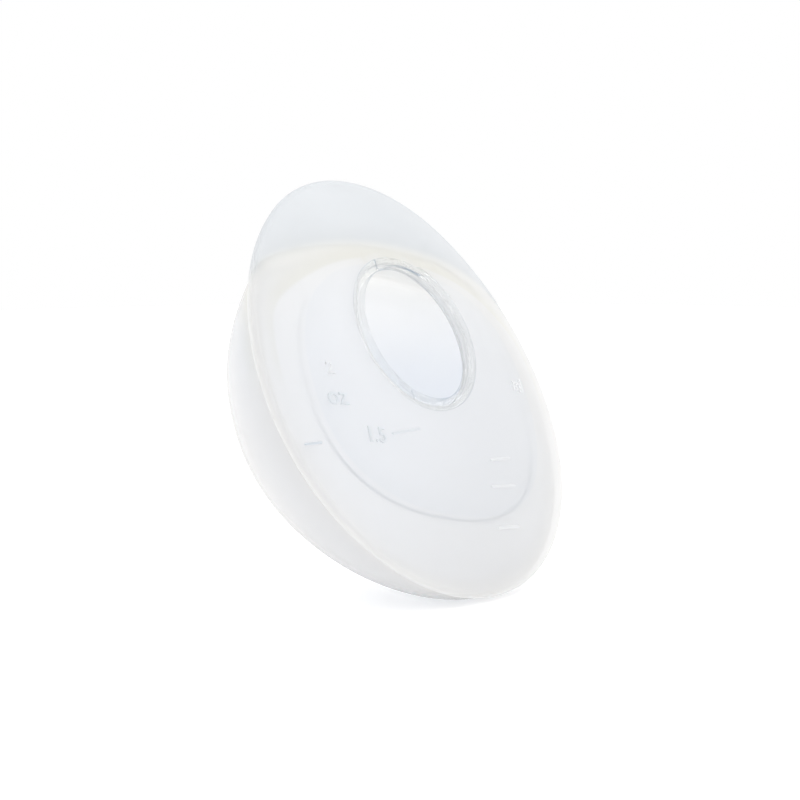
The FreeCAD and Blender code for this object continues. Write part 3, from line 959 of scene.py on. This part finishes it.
# The ticks lean by this much on each side of their height.
TICK_LEAN = 0.8
millilitre_marks = [make_label("millilitre_unit", "ml", -38 * MM, -9.9 * MM, 3.6 * MM)]
for start_x, end_x, height in ((-17, -26, -33), (-15, -26, -40.5), (-15, -25, -51.5)):
    start = (start_x * MM, (height - TICK_LEAN) * MM)
    end = (end_x * MM, (height + TICK_LEAN) * MM)
    millilitre_marks.append(make_tick("millilitre_tick", start, end, 0.9 * MM))
dress(join("millilitre_scale", millilitre_marks), PALE_MARK_SILICONE, "shield")


# ---- camera ----

CAMERA_AZIMUTH = math.radians(127.81)
CAMERA_ELEVATION = math.radians(-20.41)
CAMERA_ROLL = math.radians(-15.9)
CAMERA_DISTANCE = 1.7976
CAMERA_LENS = 313.8
CAMERA_SIDEWAYS = 0.8 * MM
CAMERA_LOWERED = 14.33 * MM


def make_camera():
    """Looks at the middle of the rim, nudged sideways and down. Gives the camera's right, up and back."""
    back = Vector(
        (
            math.sin(CAMERA_AZIMUTH) * math.cos(CAMERA_ELEVATION),
            -math.cos(CAMERA_AZIMUTH) * math.cos(CAMERA_ELEVATION),
            math.sin(CAMERA_ELEVATION),
        )
    )
    level = back.to_track_quat("Z", "Y")
    rotation = level @ Matrix.Rotation(CAMERA_ROLL, 3, "Z").to_quaternion()
    right = rotation @ Vector((1, 0, 0))
    up = rotation @ Vector((0, 1, 0))
    camera_data = bpy.data.cameras.new("camera")
    camera_data.lens = CAMERA_LENS
    camera_data.clip_start = 0.05
    camera_data.clip_end = 20
    camera = bpy.data.objects.new("camera", camera_data)
    camera.rotation_mode = "QUATERNION"
    camera.rotation_quaternion = rotation
    rim_middle = Vector((0, RIM_FRONT, 0))
    nudge = right * CAMERA_SIDEWAYS - up * CAMERA_LOWERED
    camera.location = rim_middle + back * CAMERA_DISTANCE + nudge
    bpy.context.scene.collection.objects.link(camera)
    bpy.context.scene.camera = camera
    return right, up, back


view_right, view_up, view_back = make_camera()


# ---- floor ----

FLOOR_TILT = math.radians(8)
FLOOR_RADIUS = 0.6
FLOOR_HUB_RADIUS = 0.002
# The gap that keeps the floor from touching the pump.
FLOOR_GAP = 0.1 * MM


def make_floor():
    """A pale floor that the pump leans on, level with the camera. It can't be seen from underneath."""
    upright = (view_up * math.cos(FLOOR_TILT) + view_back * math.sin(FLOOR_TILT)).normalized()
    skins = [bpy.data.objects[name].data for name in ("bulb_skin", "shield_skin")]
    touching = min((v.co for skin in skins for v in skin.vertices), key=lambda point: point.dot(upright))
    rings = [circle(radius, 0.0) for radius in np.linspace(FLOOR_HUB_RADIUS, FLOOR_RADIUS, 40)]
    count = len(rings[0])
    faces = [
        (i * count + j, i * count + (j + 1) % count, (i + 1) * count + (j + 1) % count, (i + 1) * count + j)
        for i in range(len(rings) - 1)
        for j in range(count)
    ]
    faces.append(tuple(reversed(range(count))))
    floor = smooth_object("floor", np.vstack(rings), faces)
    turn = Vector((0, -1, 0)).rotation_difference(upright)
    floor.data.transform(Matrix.Translation(touching - upright * FLOOR_GAP) @ turn.to_matrix().to_4x4())
    if floor.data.polygons[0].normal.dot(upright) < 0:
        floor.data.flip_normals()
    material, tree = new_material("floor_white")
    link = tree.links.new
    sheet = node(tree, "ShaderNodeBsdfDiffuse", Color=(0.92, 0.92, 0.92, 1))
    path = tree.nodes.new("ShaderNodeLightPath")
    glow = node(tree, "ShaderNodeEmission", Color=(1, 1, 1, 1))
    boost = node(tree, "ShaderNodeMapRange", To_Min=0.16, To_Max=0.25)
    link(path.outputs["Is Camera Ray"], boost.inputs["Value"])
    link(boost.outputs[0], glow.inputs["Strength"])
    lit = tree.nodes.new("ShaderNodeAddShader")
    link(sheet.outputs[0], lit.inputs[0])
    link(glow.outputs[0], lit.inputs[1])
    hidden = node(tree, "ShaderNodeBsdfTransparent", Color=(1, 1, 1, 1))
    side = tree.nodes.new("ShaderNodeNewGeometry")
    face = tree.nodes.new("ShaderNodeMixShader")
    link(side.outputs["Backfacing"], face.inputs[0])
    link(lit.outputs[0], face.inputs[1])
    link(hidden.outputs[0], face.inputs[2])
    out = tree.nodes.new("ShaderNodeOutputMaterial")
    link(face.outputs[0], out.inputs["Surface"])
    floor.data.materials.append(material)


make_floor()


# ---- light ----

def gradient(tree, direction, near, far, start):
    """A background colour that goes from far to near as the direction looked in turns towards direction."""
    link = tree.links.new
    place = tree.nodes.new("ShaderNodeTexCoord")
    facing = tree.nodes.new("ShaderNodeVectorMath")
    facing.operation = "DOT_PRODUCT"
    facing.inputs[1].default_value = direction.normalized()
    link(place.outputs["Generated"], facing.inputs[0])
    spread = node(tree, "ShaderNodeMapRange", From_Min=-1.0, From_Max=1.0)
    link(facing.outputs["Value"], spread.inputs["Value"])
    ramp = tree.nodes.new("ShaderNodeValToRGB")
    link(spread.outputs[0], ramp.inputs[0])
    stops = ramp.color_ramp.elements
    stops[0].position = start
    stops[0].color = (*far, 1)
    stops[1].position = 0.95
    stops[1].color = (*near, 1)
    background = node(tree, "ShaderNodeBackground", Strength=1.0)
    link(ramp.outputs[0], background.inputs["Color"])
    return background


def make_world():
    """A studio that is white to the camera, nearly even for silicone and dark on one side for plastic."""
    world = bpy.data.worlds.new("studio")
    bpy.context.scene.world = world
    world.use_nodes = True
    tree = world.node_tree
    tree.nodes.clear()
    link = tree.links.new
    from_below = view_back - view_up * 0.8
    soft = gradient(tree, from_below, near=(0.925, 0.925, 0.94), far=(1.245, 1.23, 1.21), start=0.2)
    dark_side = view_back - view_up * 0.4 + view_right * 0.3
    sharp = gradient(tree, dark_side, near=(0.35, 0.42, 0.58), far=(1.15, 1.15, 1.15), start=0.8)
    seen = node(tree, "ShaderNodeBackground", Color=(1, 1, 1, 1), Strength=1.0)
    path = tree.nodes.new("ShaderNodeLightPath")
    by_silicone = tree.nodes.new("ShaderNodeMixShader")
    link(path.outputs["Is Diffuse Ray"], by_silicone.inputs[0])
    link(sharp.outputs[0], by_silicone.inputs[1])
    link(soft.outputs[0], by_silicone.inputs[2])
    by_camera = tree.nodes.new("ShaderNodeMixShader")
    link(path.outputs["Is Camera Ray"], by_camera.inputs[0])
    link(by_silicone.outputs[0], by_camera.inputs[1])
    link(seen.outputs[0], by_camera.inputs[2])
    out = tree.nodes.new("ShaderNodeOutputWorld")
    link(by_camera.outputs[0], out.inputs["Surface"])


def make_light(name, place, size, power, tone):
    """A soft square light that looks at the pump."""
    data = bpy.data.lights.new(name, "AREA")
    data.size = size
    data.energy = power
    data.color = tone
    light = bpy.data.objects.new(name, data)
    light.location = place
    light.rotation_mode = "QUATERNION"
    light.rotation_quaternion = place.to_track_quat("Z", "Y")
    bpy.context.scene.collection.objects.link(light)


make_world()
KEY_PLACE = (view_up * 0.75 + view_right * 0.45 - view_back * 0.35) * 0.9
make_light("key", KEY_PLACE, size=0.35, power=0.4, tone=(1.0, 0.99, 0.97))

scene = bpy.context.scene
scene.view_settings.view_transform = "Standard"
scene.cycles.max_bounces = 24
scene.cycles.diffuse_bounces = 16
scene.cycles.glossy_bounces = 12
scene.cycles.transmission_bounces = 16
scene.cycles.transparent_max_bounces = 32
scene.cycles.use_denoising = True
